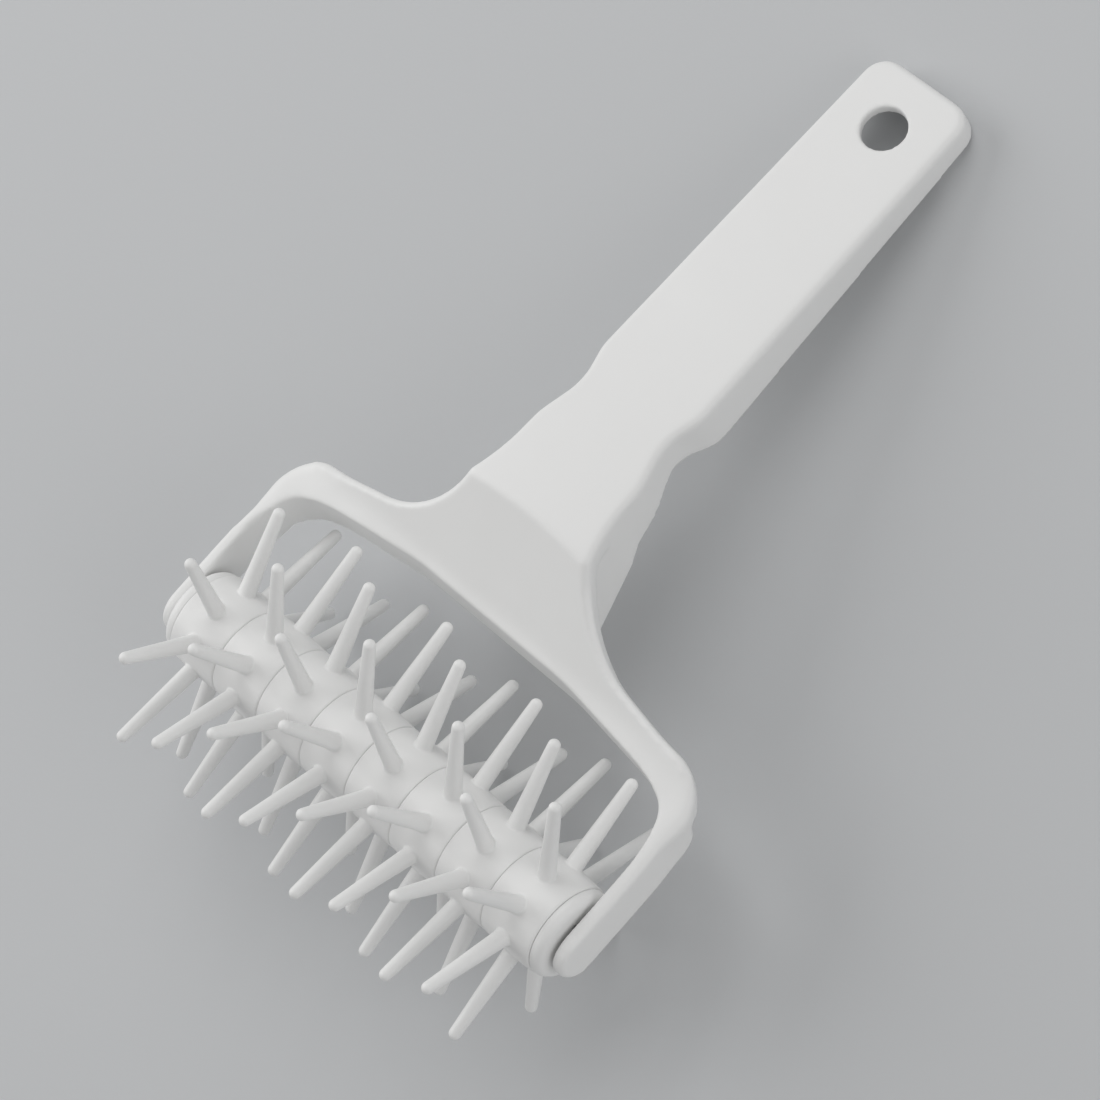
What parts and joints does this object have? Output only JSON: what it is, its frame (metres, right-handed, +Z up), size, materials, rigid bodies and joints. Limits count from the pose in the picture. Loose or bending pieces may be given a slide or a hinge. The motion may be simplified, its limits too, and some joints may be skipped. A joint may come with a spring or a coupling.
{
  "type": "dough docker",
  "caption": "White plastic dough docker: a roller of spiked discs on a spindle turns between the arms of a one-piece yoke and grip with a hanging hole.",
  "frame": {"origin": "on the table under the middle of the docker's overall box, as it lies on its spike tips and on the end of its handle", "axes": "+X along the roller's axle, +Y from the roller to the handle's end, +Z up from the table"},
  "size_m": [0.1258, 0.2124, 0.0656],
  "materials": {
    "frame_plastic": "satin moulded white plastic",
    "roller_plastic": "satin moulded white plastic",
    "spindle_steel": "drawn bar with turned journals"
  },
  "bodies": {
    "frame": {"frame": "frame_plastic"},
    "roller": {"spindle": "spindle_steel", "spiked_disc_1": "roller_plastic", "spiked_disc_2": "roller_plastic", "spiked_disc_3": "roller_plastic", "spiked_disc_4": "roller_plastic", "spiked_disc_5": "roller_plastic", "spiked_disc_6": "roller_plastic", "spiked_disc_7": "roller_plastic", "spiked_disc_8": "roller_plastic", "end_cap_left": "roller_plastic", "end_cap_right": "roller_plastic"}
  },
  "joints": [
    {"name": "roller_spin", "type": "hinge", "parent": "frame", "child": "roller", "pos_m": [0, -0.07354, 0.0328], "axis": [1, 0, 0], "continuous": true}
  ]
}
